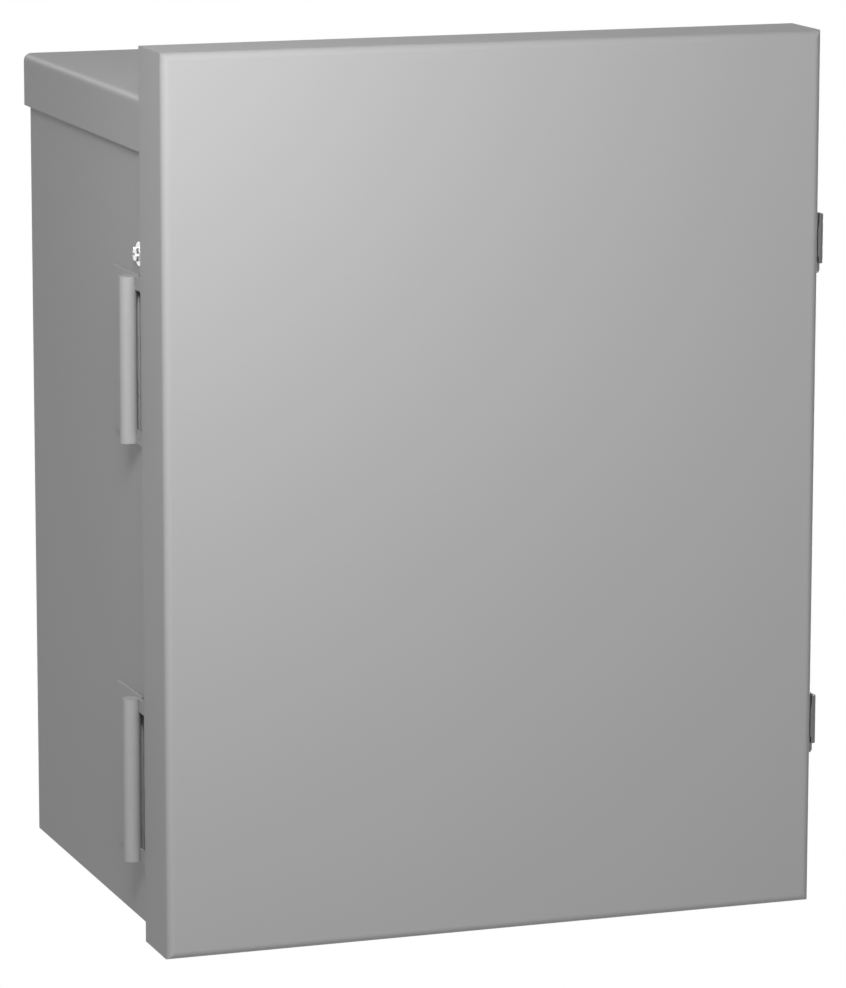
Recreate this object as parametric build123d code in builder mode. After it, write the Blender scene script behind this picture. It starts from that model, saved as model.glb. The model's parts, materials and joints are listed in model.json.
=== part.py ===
from build123d import *
import os

# Wall-mounted sheet-steel electrical enclosure with an overlapping hinged door.
#
# The folded body carries a rain cap with a turned-up gutter. The door is a deep
# pan that laps over the body, swings on two barrel hinges at the left and is
# held shut by two over-centre draw latches at the right.
#
# Frame: +Z up, the door faces -Y and +X is to the right of someone facing the
# door. The origin is the middle of the four wall holes, on the wall's plane.
# Units are millimetres.

os.makedirs("parts", exist_ok=True)

# Cylinders drawn up from their bottom
standing = (Align.CENTER, Align.CENTER, Align.MIN)

# Sheet metal
inch = 25.4
sheet = 1.9
bend = 4.6
fit_gap = 0.3

# Body
body_width = 16 * inch
body_height = 20 * inch
body_depth = 308.5
return_width = 19.0
top_flange = 14.0
boss_height = 4.0
side_x = body_width / 2
back_y = -boss_height
body_front_y = back_y - body_depth
roof_z = body_height / 2
floor_z = -body_height / 2

# Rain cap
cap_outset = 3.4
cap_lip = 33.0
cap_corner = 6.0
cap_lip_front = 55.0
gutter_height = 19.0

# Door
door_width = 418.6
door_height = 545.6
door_flange = 46.6
door_drop = 6.4
gasket_thick = 5.0
gasket_width = 14.0
door_x = door_width / 2
door_front_y = body_front_y - gasket_thick - sheet
door_low_z = floor_z - door_drop
door_high_z = door_low_z + door_height
door_inner_y = door_front_y + sheet

# Wall holes and inner panel
wall_hole_radius = 3.97
wall_hole_x = 10 * inch / 2
wall_hole_z = 15 * inch / 2
boss_radius = 19.0
boss_top_radius = 15.5
panel_width = 13 * inch
panel_height = 17 * inch
panel_flange = 9.5
stud_inset = 11.5
stud_radius = 3.175
collar_radius = 6.35
collar_length = 12.7
stud_length = 26.0
nut_flats = 11.1
nut_height = 5.6
tip_chamfer = 0.8
weld_flange_radius = 5.0
weld_flange_height = 1.2
washer_radius = 7.5
washer_height = 1.2

# Hinges
barrel_radius = 5.5
bore_radius = 3.75
pin_radius = 3.70
barrel_length = 101.2
knuckle_gap = 0.06
body_leaf_reach = 51.0
body_leaf_start = 1.0
door_leaf_start = 16.0
door_leaf_reach = 48.0
door_leaf_margin = 4.5
door_arm_height = 8.0
hinge_x = -side_x - sheet - fit_gap - barrel_radius
hinge_y = door_front_y + 68.1
hinge_heights = {"upper": 94.8, "lower": -164.0}

# Draw latches, in outboard distances from the body's side and depths behind the door's front
latch_sheet = 1.3
strike_sheet = 1.5
latch_heights = {"upper": 156.15, "lower": -146.35}
hook_width = 30.6
hook_neck = 19.0
strike_height = 37.5
strike_shift = -2.85
lever_pivot = (9.0, 58.0)
hook_pivot = (7.5, 70.0)
lever_pin_radius = 2.5
hook_pin_radius = 2.0
running_gap = 0.05
rivet_radius = 2.4
rivet_head_radius = 4.2
rivet_head_height = 1.5
strike_rivet_depth = 27.0
strike_rivet_spread = 9.0
base_rivet_depths = (80.0, 91.0)

# Bonding screw on the left side
screw_y = door_front_y + 67.0
screw_z = 158.3
screw_hole_radius = 3.3
screw_flange_radius = 7.4
screw_flange_height = 1.15
screw_head_flats = 7.9
screw_head_height = 2.5
screw_length = 13.0
slot_width = 1.4
slot_depth = 1.6

# Earth stud on the body's floor and bonding stud on the door
earth_x = side_x - 40.0
earth_y = body_front_y + 60.0
earth_length = 16.0
door_stud_x = -side_x + 60.0
door_stud_z = floor_z + 40.0
door_stud_length = 14.0


def write(piece, name):
    """Label a finished piece and write it to its own file."""
    piece.part.label = name
    export_step(piece.part, f"parts/{name}.step")


def outboard(distance, depth):
    """A point on the right side, from its distance off the body and its depth behind the front."""
    return (side_x + distance, door_front_y + depth)


def strike_rivet_faces(height):
    """Planes on the strike's outer face, one for each rivet."""
    middle = height + strike_shift
    return [
        Plane((door_x + strike_sheet, door_front_y + strike_rivet_depth, z), z_dir=(1, 0, 0))
        for z in (middle - strike_rivet_spread, middle + strike_rivet_spread)
    ]


def base_rivet_faces(height):
    """Planes on the latch base's outer face, one for each rivet."""
    return [
        Plane((side_x + latch_sheet, door_front_y + depth, height), z_dir=(1, 0, 0))
        for depth in base_rivet_depths
    ]


# Body shell: back, sides and front returns are one folded sheet
with BuildPart() as body_shell:
    with BuildSketch(Plane.XY.offset(floor_z)):
        with BuildLine():
            FilletPolyline(
                (-side_x + return_width, body_front_y),
                (-side_x, body_front_y),
                (-side_x, back_y),
                (side_x, back_y),
                (side_x, body_front_y),
                (side_x - return_width, body_front_y),
                radius=bend,
            )
            offset(amount=sheet, side=Side.RIGHT)
        make_face()
    extrude(amount=body_height - sheet)
    # relief at the top of the sides and back, where the cap flanges are folded in
    flange_front_y = body_front_y + 3 * bend
    with BuildSketch(Plane.XY.offset(roof_z - sheet - bend)):
        with Locations((0, (flange_front_y + back_y) / 2)):
            Rectangle(body_width, back_y - flange_front_y)
    extrude(amount=bend, mode=Mode.SUBTRACT)
    for way in (-1, 1):
        with BuildSketch(Plane.XZ.offset(-flange_front_y)):
            with BuildLine():
                FilletPolyline(
                    (way * side_x, roof_z - sheet - bend),
                    (way * side_x, roof_z - sheet),
                    (way * (side_x - top_flange), roof_z - sheet),
                    radius=bend - 0.01,
                )
                offset(amount=sheet, side=Side.RIGHT if way < 0 else Side.LEFT)
            make_face()
        extrude(amount=-(back_y - flange_front_y - 2 * bend))
    with BuildSketch(Plane.YZ.offset(-side_x + 2 * bend)):
        with BuildLine():
            FilletPolyline(
                (back_y, roof_z - sheet - bend),
                (back_y, roof_z - sheet),
                (back_y - top_flange, roof_z - sheet),
                radius=bend - 0.01,
            )
            offset(amount=sheet, side=Side.LEFT)
        make_face()
    extrude(amount=body_width - 4 * bend)
    # four bosses pressed out of the back hold the box off the wall
    with GridLocations(2 * wall_hole_x, 2 * wall_hole_z, 2, 2) as grid:
        boss_places = [(place.position.X, place.position.Y) for place in grid.locations]
    for x, z in boss_places:
        with BuildSketch(Plane.XZ.offset(-back_y)):
            with Locations((x, z)):
                Circle(boss_radius)
        with BuildSketch(Plane.XZ):
            with Locations((x, z)):
                Circle(boss_top_radius)
        loft()
        with BuildSketch(Plane.XZ.offset(sheet - back_y)):
            with Locations((x, z)):
                Circle(boss_radius - 1)
        with BuildSketch(Plane.XZ.offset(sheet)):
            with Locations((x, z)):
                Circle(boss_top_radius - 1)
        loft(mode=Mode.SUBTRACT)
        with Locations(Plane((x, 0, z), z_dir=(0, -1, 0))):
            Cylinder(wall_hole_radius, 4 * boss_height, mode=Mode.SUBTRACT)
    # hole for the bonding screw
    with Locations(Plane((-side_x, screw_y, screw_z), z_dir=(1, 0, 0))):
        Cylinder(screw_hole_radius, 4 * sheet, mode=Mode.SUBTRACT)
    for height in latch_heights.values():
        with Locations(*base_rivet_faces(height)):
            Cylinder(rivet_radius, 5 * sheet, mode=Mode.SUBTRACT)
write(body_shell, "body_shell")

# Bottom panel: a tray with its rims turned up inside the body
with BuildPart() as bottom_panel:
    tray_depth = body_depth - sheet
    with Locations((0, back_y - sheet - tray_depth / 2, floor_z + return_width / 2)):
        Box(body_width - 2 * sheet, tray_depth, return_width)
    tray_floor = bottom_panel.faces().sort_by(Axis.Z)[0]
    fillet(tray_floor.edges(), bend)
    tray_mouth = bottom_panel.faces().sort_by(Axis.Z)[-1]
    offset(amount=-sheet, openings=tray_mouth)
    # the side returns of the body pass the front corners
    corner_y = body_front_y + sheet / 2
    for way in (-1, 1):
        corner_x = way * (side_x - return_width / 2)
        with Locations((corner_x, corner_y, floor_z + return_width / 2)):
            Box(return_width, sheet, return_width, mode=Mode.SUBTRACT)
    # its corners are trimmed to the inside of the body's bends
    with BuildSketch(Plane.XY.offset(floor_z)):
        with Locations((0, back_y - body_depth / 2)):
            RectangleRounded(body_width - 2 * sheet, body_depth - 2 * sheet, bend - sheet)
            Rectangle(2 * (side_x - return_width), body_depth)
    extrude(amount=return_width, mode=Mode.INTERSECT)
write(bottom_panel, "bottom_panel")

# Rain cap: lips over the sides and back, and a gutter turned up behind the door
with BuildPart() as drip_top:
    cap_front_y = door_front_y + cap_lip_front
    cap_back_y = back_y + cap_outset
    cap_half = side_x + cap_outset
    with BuildSketch(Plane.XY.offset(roof_z - cap_lip)) as cap_outline:
        with Locations((0, (cap_front_y + cap_back_y) / 2)):
            Rectangle(2 * cap_half, cap_back_y - cap_front_y)
        fillet(cap_outline.vertices().group_by(Axis.Y)[-1], cap_corner)
    extrude(amount=cap_lip)
    roof_edges = drip_top.faces().sort_by(Axis.Z)[-1].edges()
    fillet(roof_edges.sort_by(Axis.Y)[1:], bend)
    cap_under = drip_top.faces().sort_by(Axis.Z)[0]
    cap_front = drip_top.faces().sort_by(Axis.Y)[0]
    offset(amount=-sheet, openings=[cap_under, cap_front])
    # flat tongue over the front of the body, ending in the gutter
    with BuildSketch(Plane.YZ.offset(-side_x)):
        with BuildLine():
            FilletPolyline(
                (cap_front_y + sheet, roof_z - sheet),
                (body_front_y, roof_z - sheet),
                (body_front_y, roof_z + gutter_height),
                radius=bend,
            )
            offset(amount=sheet, side=Side.RIGHT)
        make_face()
    extrude(amount=body_width)
write(drip_top, "drip_top")

# Door: one deep pan with bent edges and closed corners
with BuildPart() as door:
    with Locations((0, door_front_y + door_flange / 2, (door_low_z + door_high_z) / 2)):
        Box(door_width, door_flange, door_height)
    door_face = door.faces().sort_by(Axis.Y)[0]
    fillet(door_face.edges(), bend)
    door_mouth = door.faces().sort_by(Axis.Y)[-1]
    offset(amount=-sheet, openings=door_mouth)
    for height in latch_heights.values():
        with Locations(*strike_rivet_faces(height)):
            Cylinder(rivet_radius, 5 * sheet, mode=Mode.SUBTRACT)
write(door, "door")

# Gasket: a foam frame stuck to the door, pressed against the returns and the gutter
with BuildPart() as door_gasket:
    gasket_x = side_x - 1.2
    gasket_low = floor_z + 2.0
    gasket_high = roof_z + gutter_height - 3.0
    with BuildSketch(Plane.XZ.offset(-body_front_y)):
        with Locations((0, (gasket_low + gasket_high) / 2)):
            Rectangle(2 * gasket_x, gasket_high - gasket_low)
            Rectangle(
                2 * (gasket_x - gasket_width),
                gasket_high - gasket_low - 2 * gasket_width,
                mode=Mode.SUBTRACT,
            )
    extrude(amount=gasket_thick)
write(door_gasket, "door_gasket")

# Inner panel on four collared studs
panel_y = back_y - sheet - collar_length
stud_x = panel_width / 2 - stud_inset
stud_z = panel_height / 2 - stud_inset
stud_places = [(x, z) for x in (-stud_x, stud_x) for z in (-stud_z, stud_z)]

with BuildPart() as panel_studs:
    for x, z in stud_places:
        with Locations(Plane((x, back_y - sheet, z), z_dir=(0, -1, 0))):
            Cylinder(collar_radius, collar_length, align=standing)
            Cylinder(stud_radius, stud_length, align=standing)
    stud_tips = panel_studs.faces().group_by(Axis.Y)[0]
    chamfer(stud_tips.edges(), tip_chamfer)
write(panel_studs, "panel_studs")

with BuildPart() as inner_panel:
    with BuildSketch(Plane.XY.offset(-panel_height / 2)):
        with BuildLine():
            FilletPolyline(
                (-panel_width / 2, panel_y + panel_flange),
                (-panel_width / 2, panel_y - sheet),
                (panel_width / 2, panel_y - sheet),
                (panel_width / 2, panel_y + panel_flange),
                radius=bend,
            )
            offset(amount=sheet, side=Side.LEFT)
        make_face()
    extrude(amount=panel_height)
    for x, z in stud_places:
        with Locations(Plane((x, panel_y, z), z_dir=(0, -1, 0))):
            Cylinder(stud_radius + 0.6, 4 * sheet, mode=Mode.SUBTRACT)
write(inner_panel, "inner_panel")

with BuildPart() as panel_nuts:
    for x, z in stud_places:
        with BuildSketch(Plane((x, panel_y - sheet, z), z_dir=(0, -1, 0))):
            RegularPolygon(nut_flats / 2, 6, major_radius=False)
            Circle(stud_radius, mode=Mode.SUBTRACT)
        extrude(amount=nut_height)
write(panel_nuts, "panel_nuts")

# Earth stud on the floor of the tray, with its washer and nut
tray_top_z = floor_z + sheet
with BuildPart() as earth_stud:
    with Locations((earth_x, earth_y, tray_top_z)):
        Cylinder(stud_radius, earth_length, align=standing)
        Cylinder(weld_flange_radius, weld_flange_height, align=standing)
    chamfer(earth_stud.faces().sort_by(Axis.Z)[-1].edges(), tip_chamfer)
write(earth_stud, "earth_stud")

with BuildPart() as earth_nut:
    washer_z = tray_top_z + weld_flange_height
    with BuildSketch(Plane.XY.offset(washer_z)):
        with Locations((earth_x, earth_y)):
            Circle(washer_radius)
            Circle(stud_radius, mode=Mode.SUBTRACT)
    extrude(amount=washer_height)
    with BuildSketch(Plane.XY.offset(washer_z + washer_height)):
        with Locations((earth_x, earth_y)):
            RegularPolygon(nut_flats / 2, 6, major_radius=False)
            Circle(stud_radius, mode=Mode.SUBTRACT)
    extrude(amount=nut_height)
write(earth_nut, "earth_nut")

# Bonding stud on the back of the door
with BuildPart() as door_stud:
    with Locations(Plane((door_stud_x, door_inner_y, door_stud_z), z_dir=(0, 1, 0))):
        Cylinder(weld_flange_radius, weld_flange_height, align=standing)
        Cylinder(stud_radius, door_stud_length, align=standing)
    chamfer(door_stud.faces().sort_by(Axis.Y)[-1].edges(), tip_chamfer)
write(door_stud, "door_stud")

# Bonding screw through the left side, with a nut inside
screw_axis = Plane((-side_x, screw_y, screw_z), x_dir=(0, 1, 0), z_dir=(-1, 0, 0))
with BuildPart() as bonding_screw:
    with BuildSketch(screw_axis):
        Circle(screw_flange_radius)
    extrude(amount=screw_flange_height)
    fillet(bonding_screw.faces().sort_by(Axis.X)[0].edges(), 0.6)
    with BuildSketch(screw_axis.offset(screw_flange_height)):
        RegularPolygon(screw_head_flats / 2, 6, major_radius=False)
    extrude(amount=screw_head_height)
    chamfer(bonding_screw.faces().sort_by(Axis.X)[0].edges(), 0.4)
    with BuildSketch(screw_axis):
        Circle(stud_radius)
    extrude(amount=-screw_length)
    with BuildSketch(screw_axis.offset(screw_flange_height + screw_head_height - slot_depth)):
        Rectangle(2 * screw_head_flats, slot_width)
    extrude(amount=2 * slot_depth, mode=Mode.SUBTRACT)
write(bonding_screw, "bonding_screw")

with BuildPart() as bonding_nut:
    with BuildSketch(screw_axis.offset(-sheet)):
        RegularPolygon(nut_flats / 2, 6, major_radius=False)
        Circle(stud_radius, mode=Mode.SUBTRACT)
    extrude(amount=-nut_height)
write(bonding_nut, "bonding_nut")


def knuckles(height):
    """Bottom of each of the three knuckles, and their length."""
    low = height - barrel_length / 2
    length = (barrel_length - 2 * knuckle_gap) / 3
    return [low + index * (length + knuckle_gap) for index in range(3)], length


def hinge_leaf(height, plate, arm, own, arm_height, margin):
    """A flat leaf, longer than the tube by a margin at each end, with arms to its own knuckles."""
    bottoms, length = knuckles(height)
    plate_height = barrel_length + 2 * margin
    with BuildPart() as leaf:
        with BuildSketch(Plane.XY.offset(height - plate_height / 2)):
            with BuildLine():
                Polyline(*plate, close=True)
            make_face()
        extrude(amount=plate_height)
        for index in own:
            with BuildSketch(Plane.XY.offset(bottoms[index])):
                with Locations((hinge_x, hinge_y)):
                    Circle(barrel_radius)
            extrude(amount=length)
            # an arm stands at the outer end of an outer knuckle
            arm_low = bottoms[index] + (length - arm_height) * index / 2
            with BuildSketch(Plane.XY.offset(arm_low)):
                with BuildLine():
                    Polyline(*arm, close=True)
                make_face()
            extrude(amount=arm_height)
        with Locations((hinge_x, hinge_y, height)):
            Cylinder(bore_radius, 2 * barrel_length, mode=Mode.SUBTRACT)
    return leaf


flange_in = -door_x + sheet
arm_end = barrel_radius + 0.9
arm_inset = 1.5
# the body's leaf lies flat on the side and ends just behind the pin's axis
body_plate = [
    (-side_x, hinge_y + body_leaf_reach),
    (-side_x, hinge_y + body_leaf_start),
    (-side_x - sheet, hinge_y + body_leaf_start),
    (-side_x - sheet, hinge_y + body_leaf_reach),
]
body_arm = [
    (-side_x, hinge_y + body_leaf_start),
    (-side_x, hinge_y + arm_end),
    (-side_x - sheet, hinge_y + arm_end),
    (hinge_x + barrel_radius - arm_inset, hinge_y + arm_inset),
    (hinge_x + barrel_radius - arm_inset, hinge_y + body_leaf_start),
]
# the door's leaf lies inside the door's flange, and reaches the tube by two short arms
door_plate = [
    (flange_in, hinge_y - door_leaf_start),
    (flange_in, hinge_y - door_leaf_reach),
    (flange_in + sheet, hinge_y - door_leaf_reach),
    (flange_in + sheet, hinge_y - door_leaf_start),
]
door_arm = [
    (flange_in, hinge_y),
    (flange_in, hinge_y - door_leaf_start),
    (flange_in + sheet, hinge_y - door_leaf_start),
    (flange_in + sheet, hinge_y),
]

for place, height in hinge_heights.items():
    knuckle_length = knuckles(height)[1]
    body_leaf = hinge_leaf(height, body_plate, body_arm, (1,), knuckle_length, 0)
    write(body_leaf, f"{place}_hinge_body_leaf")
    door_leaf = hinge_leaf(height, door_plate, door_arm, (0, 2), door_arm_height, door_leaf_margin)
    write(door_leaf, f"{place}_hinge_door_leaf")
    with BuildPart() as hinge_pin:
        with Locations((hinge_x, hinge_y, height)):
            Cylinder(pin_radius, barrel_length)
        pin_ends = hinge_pin.faces().filter_by(GeomType.PLANE)
        chamfer(pin_ends.edges(), 0.3)
    write(hinge_pin, f"{place}_hinge_pin")

# Draw latches
flange_out = door_x - side_x
hook_front = 9.9
hook_outer = flange_out + 7.57
tip_inner = flange_out + 3.45
tip_relief = 0.75
lip_front = hook_front + latch_sheet + fit_gap
lip_outer = flange_out + 5.4
hook_roll = hook_pin_radius + running_gap + latch_sheet
arm_inner = 12.7
arm_outer = arm_inner + latch_sheet
ear_outer = arm_inner - fit_gap
ear_inner = ear_outer - latch_sheet
pin_length = arm_outer - ear_inner + 0.5
pin_middle = arm_outer - pin_length / 2
pin_head_height = 1.0
lever_pin_head = 3.9
hook_pin_head = 3.2
ear_outline_low = 52.0
ear_outline_high = 64.0
lever_end = 102.0
lever_outer = 15.3
web_front = 80.0
grip = (19.0, 110.0)


def rivets(faces, grip_length):
    """A group of rivets with a coned head outside and a flat upset inside."""
    with BuildPart() as group:
        for face in faces:
            with BuildSketch(face.offset(-grip_length)):
                Circle(rivet_radius)
            extrude(amount=grip_length)
            with BuildSketch(face):
                Circle(rivet_head_radius)
            extrude(amount=rivet_head_height, taper=30)
            with BuildSketch(face.offset(-grip_length)):
                Circle(rivet_head_radius * 0.8)
            extrude(amount=-0.8)
    return group


for place, height in latch_heights.items():
    strike_z = height + strike_shift
    with BuildPart() as strike:
        with BuildSketch(Plane.XY.offset(strike_z - strike_height / 2)):
            with BuildLine():
                FilletPolyline(
                    outboard(flange_out, 38.0),
                    outboard(flange_out, lip_front),
                    outboard(lip_outer, lip_front),
                    radius=strike_sheet + 0.7,
                )
                offset(amount=strike_sheet, side=Side.LEFT)
            make_face()
        extrude(amount=strike_height)
        rear_corners = strike.edges().filter_by(Axis.X).group_by(Axis.Y)[-1]
        fillet(rear_corners, 5.0)
        lip_corners = strike.edges().filter_by(Axis.Y).group_by(Axis.X)[-1]
        fillet(lip_corners, 2.5)
        with Locations(*strike_rivet_faces(height)):
            Cylinder(rivet_radius, 5 * sheet, mode=Mode.SUBTRACT)
    write(strike, f"{place}_latch_strike")

    strike_rivets = rivets(strike_rivet_faces(height), strike_sheet + sheet)
    write(strike_rivets, f"{place}_strike_rivets")

    with BuildPart() as latch_base:
        with BuildSketch(Plane.XZ.offset(-(door_front_y + ear_outline_low))):
            with BuildLine():
                FilletPolyline(
                    (side_x + 15.0, height - ear_outer),
                    (side_x, height - ear_outer),
                    (side_x, height + ear_outer),
                    (side_x + 15.0, height + ear_outer),
                    radius=2.0,
                )
                offset(amount=latch_sheet, side=Side.RIGHT)
            make_face()
        extrude(amount=-(ear_outline_high - ear_outline_low))
        # the ears are rounded about the lever's pivot
        pivot_x, pivot_y = outboard(*lever_pivot)
        with BuildSketch(Plane.XY.offset(height - hook_width)):
            with Locations((side_x + lever_pivot[0] / 2, pivot_y)):
                Rectangle(lever_pivot[0], ear_outline_high - ear_outline_low)
            with Locations((pivot_x, pivot_y)):
                Circle((ear_outline_high - ear_outline_low) / 2)
        extrude(amount=2 * hook_width, mode=Mode.INTERSECT)
        with BuildSketch(Plane.YZ.offset(side_x)) as base_outline:
            with Locations((door_front_y + 73.0, height)):
                Rectangle(46.0, 2 * ear_outer - 4.0)
            fillet(base_outline.vertices(), 3.0)
        extrude(amount=latch_sheet)
        with Locations((pivot_x, pivot_y, height)):
            Cylinder(lever_pin_radius, 2 * hook_width, mode=Mode.SUBTRACT)
        with Locations(*base_rivet_faces(height)):
            Cylinder(rivet_radius, 5 * sheet, mode=Mode.SUBTRACT)
    write(latch_base, f"{place}_latch_base")

    base_rivets = rivets(base_rivet_faces(height), latch_sheet + sheet)
    write(base_rivets, f"{place}_base_rivets")

    with BuildPart() as latch_lever:
        with BuildSketch(Plane.XY.offset(height - arm_outer)):
            with BuildLine():
                Polyline(
                    outboard(4.2, 57.0),
                    outboard(3.4, 71.0),
                    outboard(9.0, 88.0),
                    outboard(lever_outer - 3.0, lever_end),
                    outboard(lever_outer, lever_end),
                    outboard(lever_outer, 72.0),
                    outboard(13.8, 60.0),
                    close=True,
                )
            make_face()
            with Locations(outboard(*lever_pivot)):
                Circle(5.0)
            with Locations(outboard(*hook_pivot)):
                Circle(4.3)
        extrude(amount=2 * arm_outer)
        with BuildSketch(Plane.XY.offset(height - arm_inner)):
            with BuildLine():
                Polyline(
                    outboard(0.0, 40.0),
                    outboard(0.0, lever_end + 10.0),
                    outboard(lever_outer - latch_sheet, lever_end + 10.0),
                    outboard(lever_outer - latch_sheet, web_front),
                    outboard(lever_outer + 5.0, web_front),
                    outboard(lever_outer + 5.0, 40.0),
                    close=True,
                )
            make_face()
        extrude(amount=2 * arm_inner, mode=Mode.SUBTRACT)
        with BuildSketch(Plane.XY.offset(height - arm_outer)):
            with BuildLine():
                FilletPolyline(
                    outboard(lever_outer, lever_end - 8.0),
                    outboard(lever_outer, lever_end),
                    outboard(*grip),
                    radius=6.0,
                )
                offset(amount=latch_sheet, side=Side.LEFT)
            make_face()
        extrude(amount=2 * arm_outer)
        with Locations((*outboard(*lever_pivot), height)):
            Cylinder(lever_pin_radius + running_gap, 2 * hook_width, mode=Mode.SUBTRACT)
        with Locations((*outboard(*hook_pivot), height)):
            Cylinder(hook_pin_radius, 2 * hook_width, mode=Mode.SUBTRACT)
    write(latch_lever, f"{place}_latch_lever")

    with BuildPart() as lever_pins:
        for way in (-1, 1):
            with Locations((*outboard(*lever_pivot), height + way * pin_middle)):
                Cylinder(lever_pin_radius, pin_length)
            with Locations((*outboard(*lever_pivot), height + way * (arm_outer + pin_head_height / 2))):
                Cylinder(lever_pin_head, pin_head_height)
    write(lever_pins, f"{place}_lever_pins")

    with BuildPart() as hook_pin:
        with Locations((*outboard(*hook_pivot), height)):
            Cylinder(hook_pin_radius, 2 * arm_outer)
        for way in (-1, 1):
            with Locations((*outboard(*hook_pivot), height + way * (arm_outer + pin_head_height / 2))):
                Cylinder(hook_pin_head, pin_head_height)
    write(hook_pin, f"{place}_hook_pin")

    with BuildPart() as latch_hook:
        with BuildSketch(Plane.XY.offset(height - hook_width / 2)):
            with BuildLine():
                FilletPolyline(
                    outboard(tip_inner, hook_front),
                    outboard(hook_outer, hook_front),
                    outboard(hook_pivot[0] + hook_roll, hook_pivot[1]),
                    radius=2.2,
                )
                offset(amount=latch_sheet, side=Side.LEFT)
            make_face()
            with Locations(outboard(*hook_pivot)):
                Circle(hook_roll)
        extrude(amount=hook_width)
        with BuildSketch(Plane.YZ.offset(side_x)) as hook_outline:
            with Locations((door_front_y + 24.0, height)):
                Rectangle(44.0, hook_width)
            with Locations((door_front_y + 58.0, height)):
                Rectangle(40.0, hook_neck)
            inner_corners = hook_outline.vertices().group_by(Axis.Y)[2]
            fillet(inner_corners, 4.0)
        extrude(amount=30.0, mode=Mode.INTERSECT)
        with Locations((*outboard(*hook_pivot), height)):
            Cylinder(hook_pin_radius + running_gap, hook_width, mode=Mode.SUBTRACT)
        # the tip is cut back a little towards its two ends
        tip_x = side_x + tip_inner
        for start, full in ((6.5, 10.0), (-10.5, -11.5)):
            end = hook_width if full > 0 else -hook_width
            with BuildSketch(Plane.XZ.offset(-(door_front_y + hook_front - 1))):
                with BuildLine():
                    Polyline(
                        (tip_x - 1, height + start),
                        (tip_x, height + start),
                        (tip_x + tip_relief, height + full),
                        (tip_x + tip_relief, height + end),
                        (tip_x - 1, height + end),
                        close=True,
                    )
                make_face()
            extrude(amount=-(latch_sheet + 1.2), mode=Mode.SUBTRACT)
    write(latch_hook, f"{place}_latch_hook")
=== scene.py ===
# %% [markdown]
# # A folded-steel wall enclosure
# The imported model gives every sheet-metal piece its shape and size. This
# script adds what the eye needs: paint, plating, foam, threads and chamfered
# nuts, with a floor, lamps and a camera. The imported pieces are loaded first.

# %% Load the imported model
import bpy
import bmesh
import json
import math
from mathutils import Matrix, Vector


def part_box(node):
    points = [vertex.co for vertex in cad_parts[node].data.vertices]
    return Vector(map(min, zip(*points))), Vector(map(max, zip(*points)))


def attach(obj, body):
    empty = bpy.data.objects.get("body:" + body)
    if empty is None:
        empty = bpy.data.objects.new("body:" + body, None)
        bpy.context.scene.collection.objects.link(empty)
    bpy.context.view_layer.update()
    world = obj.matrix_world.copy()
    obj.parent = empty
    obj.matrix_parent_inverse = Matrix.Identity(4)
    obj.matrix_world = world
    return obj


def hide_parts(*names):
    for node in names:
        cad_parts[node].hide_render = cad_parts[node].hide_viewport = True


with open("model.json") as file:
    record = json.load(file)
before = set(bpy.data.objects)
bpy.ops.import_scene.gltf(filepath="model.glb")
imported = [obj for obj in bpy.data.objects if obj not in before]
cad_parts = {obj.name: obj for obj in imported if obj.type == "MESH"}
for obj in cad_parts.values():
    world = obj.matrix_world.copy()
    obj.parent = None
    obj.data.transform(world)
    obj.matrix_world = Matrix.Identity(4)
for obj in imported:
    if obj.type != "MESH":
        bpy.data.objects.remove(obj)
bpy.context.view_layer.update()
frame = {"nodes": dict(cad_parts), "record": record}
scene = bpy.context.scene
scene.view_settings.view_transform = "Standard"
print("pieces in the packed model:", len(frame["nodes"]))

# %% [markdown]
# ## The camera
# The picture was taken with a long lens from the front left, a little above
# the box. A camera could be set by eye, but then edges drift apart by several
# pixels. Its place, turn and lens were worked out from the directions of the
# box's straight edges instead, so the numbers are exact and not round. The
# sensor's 36 mm lie along the picture's longer side, which is its height.

# %% Camera
CAMERA_PLACE = (-1.08582912, -3.24587682, 0.60692963)
CAMERA_TURN = (79.20469783, -0.09296366, -19.51707479)  # degrees about X, Y and Z
camera_data = bpy.data.cameras.new("camera")
camera_data.sensor_width = 36.0
camera_data.lens = 191.91
camera_data.clip_end = 100.0
camera = bpy.data.objects.new("camera", camera_data)
camera.location = CAMERA_PLACE
camera.rotation_euler = [math.radians(angle) for angle in CAMERA_TURN]
scene.collection.objects.link(camera)
scene.camera = camera
print("camera distance in metres:", round(camera.location.length, 2))

# %% [markdown]
# ## Nodes, made the same way each time
# World, floor and materials are all node trees. They could be wired one line
# at a time, which soon hides what they do. One helper adds a node and fills
# its sockets by name, one adds a sum or product and joins its inputs, and one
# makes a surface white to the camera while its light stays plain.

# %% Helpers for node trees
def new_node(tree, kind, **values):
    """Adds a node and sets its input sockets by name."""
    node = tree.nodes.new(kind)
    for name, value in values.items():
        node.inputs[name.replace("_", " ")].default_value = value
    return node


def maths(tree, operation, first, second):
    """A Math node whose two inputs are sockets or numbers."""
    node = tree.nodes.new("ShaderNodeMath")
    node.operation = operation
    for socket, value in zip(node.inputs, (first, second)):
        if isinstance(value, bpy.types.NodeSocket):
            tree.links.new(value, socket)
        else:
            socket.default_value = value
    return node.outputs[0]


def white_when_seen(tree, light_on_object, white, output):
    """White to the camera and in gloss; the given shader for all other light."""
    path = tree.nodes.new("ShaderNodeLightPath")
    seen = maths(tree, "MAXIMUM", path.outputs["Is Camera Ray"], path.outputs["Is Glossy Ray"])
    seen = maths(tree, "MAXIMUM", seen, path.outputs["Is Transmission Ray"])
    mix = tree.nodes.new("ShaderNodeMixShader")
    tree.links.new(seen, mix.inputs[0])
    tree.links.new(light_on_object, mix.inputs[1])
    tree.links.new(white, mix.inputs[2])
    tree.links.new(mix.outputs[0], output.inputs[0])


WHITE = (1, 1, 1, 1)
print("helpers for node trees are ready")

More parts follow.
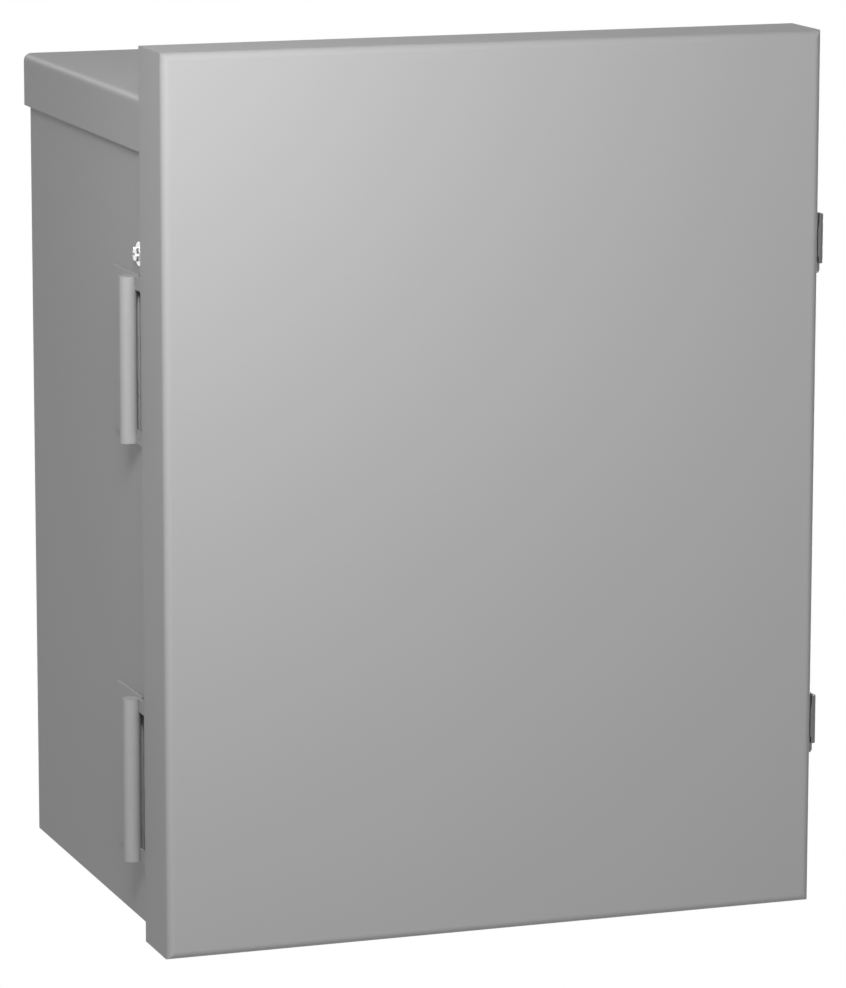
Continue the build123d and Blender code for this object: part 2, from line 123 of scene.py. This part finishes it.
# %% [markdown]
# ## Surroundings
# The picture has a plain white ground. A photograph of a room could light the
# box, but would colour and streak its paint. This world looks white to the
# camera and in reflections, and gives the box only a weak, even light, so
# that its own greys stay what they are.

# %% World
AMBIENT = 0.13
world = bpy.data.worlds.new("soft_daylight")
scene.world = world
world.use_nodes = True
tree = world.node_tree
tree.nodes.clear()
output = new_node(tree, "ShaderNodeOutputWorld")
ambient = new_node(tree, "ShaderNodeBackground", Color=WHITE, Strength=AMBIENT)
white = new_node(tree, "ShaderNodeBackground", Color=WHITE, Strength=1.0)
white_when_seen(tree, ambient.outputs[0], white.outputs[0], output)
print("even light from all round:", AMBIENT)

# %% [markdown]
# The box hangs on a wall, so the floor lies well below it. A curved backdrop
# is usual in a studio, but its bend would show in the plated pieces. One wide
# square does, white where it is seen, and a plain matt grey for the light.

# %% Floor
FLOOR_REACH = 40.0
FLOOR_Z = -1.3
FLOOR_GREY = (0.6, 0.6, 0.6, 1)
floor_mesh = bpy.data.meshes.new("floor")
floor_mesh.from_pydata(
    [(x * FLOOR_REACH, y * FLOOR_REACH, FLOOR_Z) for x, y in ((-1, -1), (1, -1), (1, 1), (-1, 1))],
    [], [(0, 1, 2, 3)])
floor = bpy.data.objects.new("floor", floor_mesh)
scene.collection.objects.link(floor)

floor_paint = bpy.data.materials.new("floor_paint")
floor_paint.use_nodes = True
tree = floor_paint.node_tree
tree.nodes.clear()
output = new_node(tree, "ShaderNodeOutputMaterial")
matt = new_node(tree, "ShaderNodeBsdfDiffuse", Color=FLOOR_GREY)
white = new_node(tree, "ShaderNodeEmission", Color=WHITE, Strength=1.0)
white_when_seen(tree, matt.outputs[0], white.outputs[0], output)
floor_mesh.materials.append(floor_paint)

# %% [markdown]
# ## Lamps
# In a studio, soft boxes stand round a product. Round area lamps do the same
# here, because a point or a sun throws hard edges, and an even world alone
# leaves the box flat. The front lamp and a small one near the door's top left
# corner make the door fade from there to the lower right. The left one stands
# level, so that the cap's lip throws little shadow, and the one above lights
# only what faces up. The one high behind is mirrored in the rounded bend of
# the cap, and the last keeps the back and the right side from going black.
# Each row says a name, a place, an aim, a diameter in metres and the watts.

# %% Lamps
def add_lamp(name, place, target, diameter, watts):
    """A round lamp at a place, turned to face a target."""
    data = bpy.data.lights.new(name, "AREA")
    data.shape = "DISK"
    data.size = diameter
    data.energy = watts
    lamp = bpy.data.objects.new(name, data)
    lamp.location = place
    aim = Vector(target) - Vector(place)
    lamp.rotation_euler = aim.to_track_quat("-Z", "Y").to_euler()
    scene.collection.objects.link(lamp)


DOOR = (0, -0.2, 0)
LAMPS = [
    ("front", (-0.243, -2.96, 0.39), DOOR, 1.0, 28.5),
    ("near_top_left", (-0.424, -0.851, 0.527), DOOR, 0.3, 4.8),
    ("left", (-1.886, -0.334, -0.1), DOOR, 1.2, 3.7),
    ("above", (0.0, 0.1, 2.4), (0, 0, 0.2), 1.2, 5.3),
    ("behind_high", (-0.7, 2.27, 1.09), (-0.2, -0.15, 0.28), 0.8, 12.0),
    ("behind_right", (1.7, 2.1, -0.2), (0, 0, 0), 1.2, 40.0),
]
for lamp in LAMPS:
    add_lamp(*lamp)
print("lamps:", [lamp[0] for lamp in LAMPS])

# %% [markdown]
# ## Surface effects that several finishes share
# Powder coat, plating and foam each have a fine texture of their own. Each
# could be wired again in every material, but a node group with named inputs
# serves several materials at different strengths. Object coordinates are
# metres in this model, so a scale of 700 means bumps about 1.4 mm apart.

# %% Helpers for shader groups
def shader_group(name, inputs, outputs):
    """An empty group with typed sockets, and its two end nodes."""
    group = bpy.data.node_groups.new(name, "ShaderNodeTree")
    for label, kind, value in inputs:
        socket = group.interface.new_socket(label, in_out="INPUT", socket_type=kind)
        socket.default_value = value
    for label, kind in outputs:
        group.interface.new_socket(label, in_out="OUTPUT", socket_type=kind)
    start = group.nodes.new("NodeGroupInput")
    end = group.nodes.new("NodeGroupOutput")
    return group, start, end


def noise(group, scale, detail, stretch=(1, 1, 1)):
    """Noise on object coordinates, drawn out along an axis by a small stretch."""
    place = group.nodes.new("ShaderNodeTexCoord")
    turn = group.nodes.new("ShaderNodeMapping")
    turn.inputs["Scale"].default_value = stretch
    texture = new_node(group, "ShaderNodeTexNoise", Detail=detail)
    group.links.new(place.outputs["Object"], turn.inputs["Vector"])
    group.links.new(turn.outputs["Vector"], texture.inputs["Vector"])
    if isinstance(scale, bpy.types.NodeSocket):
        group.links.new(scale, texture.inputs["Scale"])
    else:
        texture.inputs["Scale"].default_value = scale
    return texture.outputs["Fac"]


def swing(group, value, amount):
    """How far a value is from one half, times an amount."""
    return maths(group, "MULTIPLY", maths(group, "SUBTRACT", value, 0.5), amount)


def shade(group, colour, value, amount):
    """The colour, made a little lighter or darker where value leaves one half."""
    factor = maths(group, "ADD", swing(group, value, amount), 1.0)
    mix = group.nodes.new("ShaderNodeVectorMath")
    mix.operation = "SCALE"
    group.links.new(colour, mix.inputs[0])
    group.links.new(factor, mix.inputs["Scale"])
    return mix.outputs[0]


def bump(group, height, strength, distance):
    """A normal from a height, over a distance in metres."""
    node = new_node(group, "ShaderNodeBump", Distance=distance)
    group.links.new(strength, node.inputs["Strength"])
    group.links.new(height, node.inputs["Height"])
    return node.outputs["Normal"]


NUMBER, COLOUR, VECTOR = "NodeSocketFloat", "NodeSocketColor", "NodeSocketVector"
print("helpers for shader groups are ready")

# %% [markdown]
# Powder coat is dry paint powder, baked until it flows. It leaves a faint
# orange peel and is never quite even in tone. A plain colour would do from
# afar, but looks like plastic close up, so one noise lifts the peel and a
# large, weak one clouds the colour.

# %% Powder coat
CLOUD_SCALE = 9.0
PEEL_HEIGHT = 0.00004
POWDER_GLOSS_SWING = 0.12
powder, start, end = shader_group(
    "powder_coat",
    [("Colour", COLOUR, (0.4, 0.4, 0.4, 1)), ("Mottle", NUMBER, 0.03),
     ("Peel Scale", NUMBER, 650.0), ("Peel", NUMBER, 0.1), ("Roughness", NUMBER, 0.45)],
    [("Colour", COLOUR), ("Roughness", NUMBER), ("Normal", VECTOR)])
cloud = noise(powder, CLOUD_SCALE, detail=3.0)
peel = noise(powder, start.outputs["Peel Scale"], detail=2.0)
tone = shade(powder, start.outputs["Colour"], cloud, start.outputs["Mottle"])
rough = maths(powder, "ADD", start.outputs["Roughness"], swing(powder, peel, POWDER_GLOSS_SWING))
powder.links.new(tone, end.inputs["Colour"])
powder.links.new(rough, end.inputs["Roughness"])
powder.links.new(bump(powder, peel, start.outputs["Peel"], PEEL_HEIGHT), end.inputs["Normal"])
print("group:", powder.name)

# %% [markdown]
# Plated steel is a metal, so its colour is its reflection. The plating shows
# the drawn grain of the strip underneath, and dull patches where it took
# unevenly. A picture of steel could be laid on, but would stretch over the
# bends, so the patches are noise, and the grain is noise squeezed one way.

# %% Plating
PATCH_SCALE = 110.0
GRAIN_SCALE = 1500.0
GRAIN_STRETCH = (1, 0.06, 1)
GRAIN_HEIGHT = 0.00003
PLATE_GLOSS_SWING = 0.3
plate, start, end = shader_group(
    "plating",
    [("Colour", COLOUR, (0.6, 0.6, 0.6, 1)), ("Patches", NUMBER, 0.15),
     ("Grain", NUMBER, 0.2), ("Roughness", NUMBER, 0.35)],
    [("Colour", COLOUR), ("Roughness", NUMBER), ("Normal", VECTOR)])
patch = noise(plate, PATCH_SCALE, detail=4.0)
grain = noise(plate, GRAIN_SCALE, detail=2.0, stretch=GRAIN_STRETCH)
tone = shade(plate, start.outputs["Colour"], patch, start.outputs["Patches"])
rough = maths(plate, "ADD", start.outputs["Roughness"], swing(plate, patch, PLATE_GLOSS_SWING))
plate.links.new(tone, end.inputs["Colour"])
plate.links.new(rough, end.inputs["Roughness"])
plate.links.new(bump(plate, grain, start.outputs["Grain"], GRAIN_HEIGHT), end.inputs["Normal"])
print("group:", plate.name)

# %% [markdown]
# Foam rubber is a skin over small closed cells. Modelled pores would need
# millions of faces, so a cell texture gives them, as dents a fraction of a
# millimetre across. The same texture darkens the colour at the bottom of each
# dent and lightens it at the rim, which is painted shade.

# %% Foam cells
CELL_DEPTH = 0.0002
PORE_PAINTED_SHADE = 0.6
cells, start, end = shader_group(
    "foam_cells",
    [("Colour", COLOUR, (0.03, 0.03, 0.03, 1)), ("Cell Scale", NUMBER, 1300.0),
     ("Depth", NUMBER, 0.5)],
    [("Colour", COLOUR), ("Normal", VECTOR)])
place = cells.nodes.new("ShaderNodeTexCoord")
pores = cells.nodes.new("ShaderNodeTexVoronoi")
cells.links.new(place.outputs["Object"], pores.inputs["Vector"])
cells.links.new(start.outputs["Cell Scale"], pores.inputs["Scale"])
pore_depth_and_painted_shade = pores.outputs["Distance"]
# The colour is darker at the bottom of each dent and lighter at its rim: painted shade in the
# pores.
tone = shade(cells, start.outputs["Colour"], pore_depth_and_painted_shade, PORE_PAINTED_SHADE)
cells.links.new(tone, end.inputs["Colour"])
cells.links.new(bump(cells, pore_depth_and_painted_shade, start.outputs["Depth"], CELL_DEPTH), end.inputs["Normal"])
print("group:", cells.name)

# %% [markdown]
# ## Finishes
# The sheet is powder-coated grey, the inner panel white, and the latches and
# fasteners are plated. Painted pictures could hold all this, but would blur
# close up. Each finish is one Principled shader fed by one of the groups.
# Numbers that are the same everywhere, such as how strongly the paint
# reflects, sit on the shader's own socket.

# %% One finish from one group
FOAM_ROUGHNESS = 0.9


def finish(name, group, metallic, specular, values):
    """A material whose colour, normal and, if it has one, roughness come from a group."""
    material = bpy.data.materials.new(name)
    material.use_nodes = True
    tree = material.node_tree
    shader = tree.nodes["Principled BSDF"]
    shader.inputs["Metallic"].default_value = metallic
    shader.inputs["Specular IOR Level"].default_value = specular
    shader.inputs["Roughness"].default_value = FOAM_ROUGHNESS
    texture = tree.nodes.new("ShaderNodeGroup")
    texture.node_tree = group
    for label, value in values.items():
        texture.inputs[label].default_value = value
    tree.links.new(texture.outputs["Colour"], shader.inputs["Base Color"])
    tree.links.new(texture.outputs["Normal"], shader.inputs["Normal"])
    if "Roughness" in texture.outputs:
        tree.links.new(texture.outputs["Roughness"], shader.inputs["Roughness"])
    return material


finishes = {
    "grey_paint": finish("grey_powder_coat", powder, metallic=0.0, specular=0.15, values={
        "Colour": (0.40, 0.40, 0.40, 1), "Mottle": 0.02, "Peel": 0.08, "Roughness": 0.55}),
    "white_paint": finish("white_powder_coat", powder, metallic=0.0, specular=0.2, values={
        "Colour": (0.74, 0.74, 0.72, 1), "Mottle": 0.02, "Peel": 0.12, "Roughness": 0.5}),
    # The latch plating's near-black colour, 0.14, is painted shade: it stands for the shadow that
    # the door throws on the hooks and strikes.
    "latch_steel": finish("latch_zinc_darkened_as_painted_shade", plate, metallic=1.0, specular=0.5, values={
        "Colour": (0.14, 0.14, 0.14, 1), "Patches": 0.12, "Grain": 0.25, "Roughness": 0.40}),
    "zinc": finish("zinc_plate", plate, metallic=1.0, specular=0.5, values={
        "Colour": (0.60, 0.60, 0.61, 1), "Patches": 0.18, "Grain": 0.2, "Roughness": 0.34}),
    "bright_plate": finish("bright_nickel", plate, metallic=1.0, specular=0.5, values={
        "Colour": (0.82, 0.82, 0.82, 1), "Patches": 0.05, "Grain": 0.08, "Roughness": 0.18}),
    "foam": finish("foam_rubber", cells, metallic=0.0, specular=0.2, values={
        "Colour": (0.03, 0.03, 0.03, 1), "Cell Scale": 1300.0, "Depth": 0.5}),
}
print("finishes:", sorted(finishes))

# %% [markdown]
# On such boxes the welded sheet is coated in one go, and the plated pieces
# are fitted later, so no piece has two finishes. The record names the finish
# of each piece, and a loop hands it out. A list by hand could forget one.

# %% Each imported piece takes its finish
for part in frame["record"]["subparts"]:
    for slot in frame["nodes"][part["node"]].material_slots:
        slot.material = finishes[part["material_slot"]]

# %% [markdown]
# ## Pieces that repeat or follow a path
# Studs, nuts and the foam bead follow rules. They could be modelled by hand
# one after the other, but Geometry Nodes make them from a few numbers, and
# one tree serves many places and sizes through its named inputs.

# %% Helpers for geometry trees
def geometry_group(name, inputs):
    """A tree with a geometry input and output, and named sizes."""
    group = bpy.data.node_groups.new(name, "GeometryNodeTree")
    group.interface.new_socket("Geometry", in_out="INPUT", socket_type="NodeSocketGeometry")
    names = {}
    for label, kind in inputs:
        socket = group.interface.new_socket(label, in_out="INPUT", socket_type=kind)
        names[label] = socket.identifier
    group.interface.new_socket("Geometry", in_out="OUTPUT", socket_type="NodeSocketGeometry")
    start = group.nodes.new("NodeGroupInput")
    end = group.nodes.new("NodeGroupOutput")
    return group, names, start, end


def close_tree(group, geometry, start, end):
    """Instances become real faces, with the finish set inside the tree."""
    real = group.nodes.new("GeometryNodeRealizeInstances")
    paint = group.nodes.new("GeometryNodeSetMaterial")
    group.links.new(geometry, real.inputs[0])
    group.links.new(real.outputs[0], paint.inputs["Geometry"])
    group.links.new(start.outputs["Finish"], paint.inputs["Material"])
    group.links.new(paint.outputs[0], end.inputs[0])


MERGE_DISTANCE = 1e-6
MM_PER_METRE = 1000
print("helpers for geometry trees are ready")

# %% [markdown]
# A tree's result is only shown, not stored, as long as its modifier is live.
# It could stay so, but a plain mesh is easier to clean and to measure. So it
# is copied out, in its place and with its object at the origin, its doubles
# are merged, and its faces are turned outwards. Its box is printed in
# millimetres.

# %% From a tree to a plain mesh
def in_mm(corner):
    """A corner in millimetres, rounded for printing."""
    return [round(value * MM_PER_METRE, 2) for value in corner]


def grow(name, points, group, names, values, body, slot, node, crease=30.0):
    """Runs a tree on some points and keeps its result as a mesh that stands for a node."""
    seed = bpy.data.meshes.new(name + "_points")
    seed.from_pydata(points, [], [])
    source = bpy.data.objects.new(name + "_source", seed)
    scene.collection.objects.link(source)
    modifier = source.modifiers.new("tree", "NODES")
    modifier.node_group = group
    for label, value in dict(values, Finish=finishes[slot]).items():
        modifier[names[label]] = value
    depsgraph = bpy.context.evaluated_depsgraph_get()
    mesh = bpy.data.meshes.new_from_object(source.evaluated_get(depsgraph))
    source.modifiers.clear()
    bpy.data.objects.remove(source)
    mesh.name = name
    tidy = bmesh.new()
    tidy.from_mesh(mesh)
    bmesh.ops.remove_doubles(tidy, verts=tidy.verts, dist=MERGE_DISTANCE)
    bmesh.ops.recalc_face_normals(tidy, faces=tidy.faces)
    tidy.to_mesh(mesh)
    tidy.free()
    mesh.shade_smooth()
    mesh.set_sharp_from_angle(angle=math.radians(crease))
    piece = bpy.data.objects.new(name, mesh)
    scene.collection.objects.link(piece)
    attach(piece, body)
    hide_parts(node)
    low = [min(vertex.co[axis] for vertex in mesh.vertices) for axis in range(3)]
    high = [max(vertex.co[axis] for vertex in mesh.vertices) for axis in range(3)]
    print(name, "faces", len(mesh.polygons), "box in mm", in_mm(low), in_mm(high))

# %% [markdown]
# ## The foam gasket
# A machine lays the gasket on the door as one bead of liquid foam, which
# rises into a rounded strip and is pressed flat where the body meets it. A
# frame of bevelled bars would keep sharp corners, so a section runs along a
# path. The path is a rounded rectangle. The section is an ellipse, cut off
# at the door below and at the pressed face above.

# %% Foam bead
CORNER_STEPS = 8
SECTION_STEPS = 28
bead, names, start, end = geometry_group("foam_bead", [
    ("Width", NUMBER), ("Height", NUMBER), ("Corner", NUMBER), ("Half Bead", NUMBER),
    ("Rise", NUMBER), ("Free Rise", NUMBER), ("Place", VECTOR), ("Finish", "NodeSocketMaterial")])
path = bead.nodes.new("GeometryNodeCurvePrimitiveQuadrilateral")
bead.links.new(start.outputs["Width"], path.inputs["Width"])
bead.links.new(start.outputs["Height"], path.inputs["Height"])
rounded = bead.nodes.new("GeometryNodeFilletCurve")
rounded.mode = "POLY"
rounded.inputs["Count"].default_value = CORNER_STEPS
bead.links.new(path.outputs[0], rounded.inputs["Curve"])
bead.links.new(start.outputs["Corner"], rounded.inputs["Radius"])
section = new_node(bead, "GeometryNodeCurvePrimitiveCircle", Resolution=SECTION_STEPS, Radius=1.0)
place = bead.nodes.new("GeometryNodeInputPosition")
parts = bead.nodes.new("ShaderNodeSeparateXYZ")
bead.links.new(place.outputs[0], parts.inputs[0])
across = maths(bead, "MULTIPLY", parts.outputs["X"], start.outputs["Half Bead"])
up = maths(bead, "MULTIPLY", parts.outputs["Y"], start.outputs["Free Rise"])
up = maths(bead, "MAXIMUM", maths(bead, "MINIMUM", up, start.outputs["Rise"]), 0.0)
joined = bead.nodes.new("ShaderNodeCombineXYZ")
bead.links.new(across, joined.inputs["X"])
bead.links.new(up, joined.inputs["Y"])
moved = bead.nodes.new("GeometryNodeSetPosition")
bead.links.new(section.outputs[0], moved.inputs["Geometry"])
bead.links.new(joined.outputs[0], moved.inputs["Position"])
swept = bead.nodes.new("GeometryNodeCurveToMesh")
bead.links.new(rounded.outputs[0], swept.inputs["Curve"])
bead.links.new(moved.outputs[0], swept.inputs["Profile Curve"])
stood = new_node(bead, "GeometryNodeTransform", Rotation=(math.pi / 2, 0, 0))
bead.links.new(swept.outputs[0], stood.inputs["Geometry"])
bead.links.new(start.outputs["Place"], stood.inputs["Translation"])
close_tree(bead, stood.outputs[0], start, end)
print("tree:", bead.name)

# %% Gasket in its place
BEAD_WIDTH = 0.014
low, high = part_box("door_gasket")
grow("foam_gasket", [(0, 0, 0)], bead, names, {
    "Width": high[0] - low[0] - BEAD_WIDTH, "Height": high[2] - low[2] - BEAD_WIDTH,
    "Corner": 0.010, "Half Bead": BEAD_WIDTH / 2, "Rise": 0.005, "Free Rise": 0.0062,
    "Place": (0, low[1], (low[2] + high[2]) / 2),
}, "door", "foam", "door_gasket")

# %% [markdown]
# ## Threaded studs
# Studs are welded to the sheet and carry a rolled thread. A bump texture could
# draw the thread, but the outline would stay straight, so a spiral with a
# diamond section makes the ridge, and a plain core fills it. The curve's
# normals are held level, so that the diamond doesn't twist as it climbs. A
# collar at the foot stands for the weld flange or the spacer.

# %% The thread's ridge
TURN_STEPS = 20
DIAMOND_SIDES = 4
stud, names, start, end = geometry_group("threaded_stud", [
    ("Length", NUMBER), ("Thread", NUMBER), ("Radius", NUMBER), ("Pitch", NUMBER),
    ("Collar Radius", NUMBER), ("Collar", NUMBER), ("Turn", VECTOR),
    ("Finish", "NodeSocketMaterial")])
half_pitch = maths(stud, "MULTIPLY", start.outputs["Pitch"], 0.5)
core_radius = maths(stud, "SUBTRACT", start.outputs["Radius"], half_pitch)
run = maths(stud, "SUBTRACT", start.outputs["Thread"], start.outputs["Pitch"])
turns = maths(stud, "DIVIDE", run, start.outputs["Pitch"])
spiral = new_node(stud, "GeometryNodeCurveSpiral", Resolution=TURN_STEPS)
stud.links.new(turns, spiral.inputs["Rotations"])
stud.links.new(core_radius, spiral.inputs["Start Radius"])
stud.links.new(core_radius, spiral.inputs["End Radius"])
stud.links.new(run, spiral.inputs["Height"])
level = stud.nodes.new("GeometryNodeSetCurveNormal")
level.mode = "Z_UP"
stud.links.new(spiral.outputs[0], level.inputs["Curve"])
diamond = new_node(stud, "GeometryNodeCurvePrimitiveCircle", Resolution=DIAMOND_SIDES)
stud.links.new(half_pitch, diamond.inputs["Radius"])
ridge = new_node(stud, "GeometryNodeCurveToMesh", Fill_Caps=True)
stud.links.new(level.outputs[0], ridge.inputs["Curve"])
stud.links.new(diamond.outputs[0], ridge.inputs["Profile Curve"])
print("tree:", stud.name)

# %% Core, collar and their places
def raised(tree, geometry, height):
    """Geometry lifted along Z by a socket's value."""
    lift = tree.nodes.new("GeometryNodeTransform")
    shift = tree.nodes.new("ShaderNodeCombineXYZ")
    tree.links.new(height, shift.inputs["Z"])
    tree.links.new(geometry, lift.inputs["Geometry"])
    tree.links.new(shift.outputs[0], lift.inputs["Translation"])
    return lift.outputs[0]


def upright(tree, radius, length, sides):
    """A cylinder that stands on the origin."""
    post = new_node(tree, "GeometryNodeMeshCylinder", Vertices=sides)
    tree.links.new(radius, post.inputs["Radius"])
    tree.links.new(length, post.inputs["Depth"])
    return raised(tree, post.outputs["Mesh"], maths(tree, "MULTIPLY", length, 0.5))


CORE_SIDES = 32
COLLAR_SIDES = 48
thread_low = maths(stud, "SUBTRACT", start.outputs["Length"], start.outputs["Thread"])
thread = raised(stud, ridge.outputs[0], maths(stud, "ADD", thread_low, half_pitch))
core = upright(stud, core_radius, start.outputs["Length"], CORE_SIDES)
collar = upright(stud, start.outputs["Collar Radius"], start.outputs["Collar"], COLLAR_SIDES)
whole = stud.nodes.new("GeometryNodeJoinGeometry")
for piece in (thread, core, collar):
    stud.links.new(piece, whole.inputs[0])
placed = stud.nodes.new("GeometryNodeInstanceOnPoints")
stud.links.new(start.outputs["Geometry"], placed.inputs["Points"])
stud.links.new(whole.outputs[0], placed.inputs["Instance"])
stud.links.new(start.outputs["Turn"], placed.inputs["Rotation"])
close_tree(stud, placed.outputs[0], start, end)
print("stud nodes:", len(stud.nodes))

# %% [markdown]
# Four studs carry the inner panel, each with a long spacer at its foot. The
# earth stud stands on the floor and the bonding stud on the door, each on a
# low weld flange. Their places could be typed in, but are read from the packed
# solids, so they stay right if the model changes.

# %% Studs in their places
BOLT_RADIUS = 0.003175
PITCH = 0.00127
SPACER_RADIUS = 0.00635
WELD_FLANGE = {"Collar Radius": 0.005, "Collar": 0.0012}
X_AXIS, Y_AXIS, Z_AXIS = 0, 1, 2
UPWARDS = (0, 0, 0)
TOWARDS_DOOR = (math.pi / 2, 0, 0)
TOWARDS_BACK = (-math.pi / 2, 0, 0)


def four_corners(box, inset, depth):
    """Four points inside a box's corners, at one depth along Y."""
    low, high = box
    return [
        (x, depth, z)
        for x in (low[0] + inset, high[0] - inset)
        for z in (low[2] + inset, high[2] - inset)]


def foot(box, axis):
    """The middle of a box's low face across an axis."""
    low, high = box
    point = [(a + b) / 2 for a, b in zip(low, high)]
    point[axis] = low[axis]
    return tuple(point)


low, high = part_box("panel_studs")
grow("panel_stud_set", four_corners((low, high), SPACER_RADIUS, high[1]), stud, names, {
    "Length": 0.026, "Thread": 0.0128, "Radius": BOLT_RADIUS, "Pitch": PITCH,
    "Collar Radius": SPACER_RADIUS, "Collar": 0.0127, "Turn": TOWARDS_DOOR,
}, "case", "zinc", "panel_studs")

earth_foot = foot(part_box("earth_stud"), Z_AXIS)
grow("earth_stud_thread", [earth_foot], stud, names, dict(
    WELD_FLANGE, Length=0.016, Thread=0.0146, Radius=BOLT_RADIUS, Pitch=PITCH, Turn=UPWARDS,
), "case", "zinc", "earth_stud")

door_foot = foot(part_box("door_stud"), Y_AXIS)
grow("door_stud_thread", [door_foot], stud, names, dict(
    WELD_FLANGE, Length=0.014, Thread=0.0126, Radius=BOLT_RADIUS, Pitch=PITCH, Turn=TOWARDS_BACK,
), "door", "zinc", "door_stud")

# %% [markdown]
# ## Nuts
# A pressed nut is a hexagon whose corners are turned off by a cone, which
# leaves a curved edge on each flat. A boolean of the two would leave thin,
# uneven faces. Rings of points give it directly: the outer rings follow the
# hexagon, and drop where the cone cuts them.

# %% One nut as a ring of sections
NUT_STEPS = 72
CHAMFER_START = 0.96
CHAMFER_SLOPE = math.tan(math.radians(30))
SIXTH = math.pi / 3


def around(index, section):
    """A section's points of radius and height, turned to their step round the axis."""
    angle = 2 * math.pi * index / NUT_STEPS
    return [(radius * math.cos(angle), radius * math.sin(angle), z) for radius, z in section]


def stack(shape, rings):
    """Faces round a ring of closed sections."""
    rows = [[shape.verts.new(point) for point in ring] for ring in rings]
    for row, after in zip(rows, rows[1:] + rows[:1]):
        for index in range(len(row)):
            next_index = (index + 1) % len(row)
            shape.faces.new((row[index], row[next_index], after[next_index], after[index]))


def nut_mesh(name, flats, bore, height, washer=0.0, washer_radius=0.0):
    """A chamfered nut on its end, over a flat washer if it has one."""
    top = washer + height
    inner = flats / 2 * CHAMFER_START
    rings = []
    for index in range(NUT_STEPS):
        angle = 2 * math.pi * index / NUT_STEPS
        corner = flats / 2 / math.cos((angle + SIXTH / 2) % SIXTH - SIXTH / 2)
        drop = max(0.0, corner - inner) * CHAMFER_SLOPE
        rings.append(around(index, (
            (bore, washer), (bore, top), (inner, top),
            (corner, top - drop), (corner, washer + drop), (inner, washer))))
    shape = bmesh.new()
    stack(shape, rings)
    if washer:
        section = ((bore, 0), (bore, washer), (washer_radius, washer), (washer_radius, 0))
        stack(shape, [around(index, section) for index in range(NUT_STEPS)])
    bmesh.ops.recalc_face_normals(shape, faces=shape.faces)
    mesh = bpy.data.meshes.new(name)
    shape.to_mesh(mesh)
    shape.free()
    return mesh


print("a nut has", NUT_STEPS * 6, "faces")

# %% [markdown]
# Four nuts hold the inner panel on its studs, one clamps a wire to the earth
# stud over a washer, and the last one holds the slotted screw from inside.
# Copies could be moved by hand, but one tree that sets a pattern nut on given
# points needs only their places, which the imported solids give.

# %% Nuts in their places
nuts, names, start, end = geometry_group("nut_set", [
    ("Nut", "NodeSocketObject"), ("Turn", VECTOR), ("Finish", "NodeSocketMaterial")])
pattern = nuts.nodes.new("GeometryNodeObjectInfo")
nuts.links.new(start.outputs["Nut"], pattern.inputs["Object"])
placed = nuts.nodes.new("GeometryNodeInstanceOnPoints")
nuts.links.new(start.outputs["Geometry"], placed.inputs["Points"])
nuts.links.new(pattern.outputs["Geometry"], placed.inputs["Instance"])
nuts.links.new(start.outputs["Turn"], placed.inputs["Rotation"])
close_tree(nuts, placed.outputs[0], start, end)


def place_nuts(name, mesh, points, turn, node):
    """Sets a nut on some points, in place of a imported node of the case."""
    pattern = bpy.data.objects.new(name + "_pattern", mesh)
    scene.collection.objects.link(pattern)
    values = {"Nut": pattern, "Turn": turn}
    grow(name, points, nuts, names, values, "case", "zinc", node, crease=20.0)
    bpy.data.objects.remove(pattern)


FLATS = 0.0111
NUT_HEIGHT = 0.0056
WASHER = 0.0012
WASHER_RADIUS = 0.0075
TOWARDS_RIGHT = (0, math.pi / 2, 0)
panel_nut = nut_mesh("panel_nut", FLATS, BOLT_RADIUS, NUT_HEIGHT)
earth_nut = nut_mesh("earth_pattern", FLATS, BOLT_RADIUS, NUT_HEIGHT, WASHER, WASHER_RADIUS)
bonding_nut = nut_mesh("bonding_pattern", FLATS, BOLT_RADIUS, NUT_HEIGHT)
low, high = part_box("panel_nuts")
corners = four_corners(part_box("panel_studs"), SPACER_RADIUS, high[1])
place_nuts("panel_nut_set", panel_nut, corners, TOWARDS_DOOR, "panel_nuts")
earth_foot = foot(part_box("earth_nut"), Z_AXIS)
place_nuts("earth_nut_and_washer", earth_nut, [earth_foot], UPWARDS, "earth_nut")
bonding_foot = foot(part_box("bonding_nut"), X_AXIS)
place_nuts("bonding_screw_nut", bonding_nut, [bonding_foot], TOWARDS_RIGHT, "bonding_nut")
